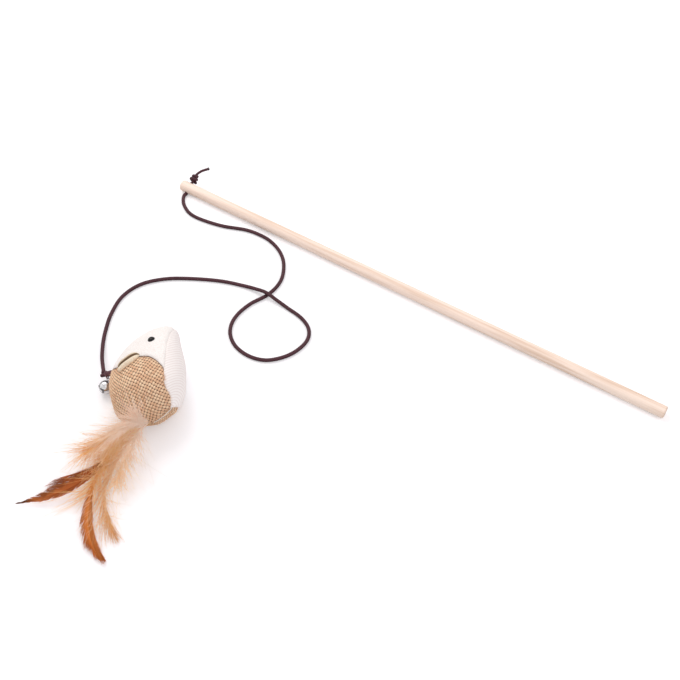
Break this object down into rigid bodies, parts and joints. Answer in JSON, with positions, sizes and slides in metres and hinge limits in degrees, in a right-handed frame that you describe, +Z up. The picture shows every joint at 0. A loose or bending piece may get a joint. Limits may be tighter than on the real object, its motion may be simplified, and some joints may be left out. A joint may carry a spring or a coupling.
{
  "type": "cat teaser wand",
  "caption": "Cat teaser wand: a wooden stick, a knotted elastic cord, and a stuffed mouse with a jingle bell and a feather tail, lying at rest.",
  "frame": {"origin": "centre of the stick's butt end face", "axes": "+X along the stick, out of the butt; +Z up from the surface it lies on"},
  "size_m": [0.38, 0.2883, 0.0375],
  "materials": {
    "wood": "sanded, unvarnished",
    "cord": "round braided elastic",
    "cord_end": "melted",
    "white_cloth": "plain weave",
    "ribbed_cloth": "fine ribs",
    "burlap": "coarse plain weave",
    "ear_cloth": "rolled edge",
    "fill": "loose fibre",
    "bead": "polished",
    "thread": "spun",
    "bell_metal": "nickel plated",
    "pellet_steel": "plain",
    "quill": "horn",
    "rust_feather": "barbed vane",
    "orange_feather": "barbed vane",
    "tan_feather": "barbed vane",
    "down": "fluffy"
  },
  "bodies": {
    "wand": {"stick": "wood", "cord_in_stick": "cord", "tip_knot": "cord", "cord_tail": "cord", "tail_seal": "cord_end", "cord": "cord"},
    "lure": {"neck_cord": "cord", "neck_binding": "cord", "inner_knot": "cord", "head_right": "white_cloth", "head_left": "white_cloth", "body_right": "burlap", "body_left": "burlap", "belly_panel": "ribbed_cloth", "stuffing": "fill", "ear_right": "ear_cloth", "ear_left": "ear_cloth", "eye_right": "bead", "eye_left": "bead", "closing_thread": "thread", "bell_tie": "cord", "quill_bundle": "quill", "feather_rust": "rust_feather", "feather_orange": "orange_feather", "feather_tan": "tan_feather", "plume_left": "down", "plume_right": "down"},
    "bell": {"bell_cap": "bell_metal", "bell_cup": "bell_metal", "bell_eyelet": "bell_metal"},
    "pellet": {"bell_pellet": "pellet_steel"}
  },
  "joints": [
    {"name": "lure_swivel", "type": "hinge", "parent": "wand", "child": "lure", "pos_m": [-0.30363, -0.17135, 0.00647], "axis": [0, 0, 1], "range_deg": [-60, 5]},
    {"name": "bell_swing", "type": "hinge", "parent": "lure", "child": "bell", "pos_m": [-0.30002, -0.1708, 0.00509], "axis": [-0.3545, 0.6597, -0.6627], "range_deg": [-18, 26]},
    {"name": "pellet_roll", "type": "slide", "parent": "bell", "child": "pellet", "axis": [0, 0, 1], "range_m": [0, 0.005]}
  ]
}
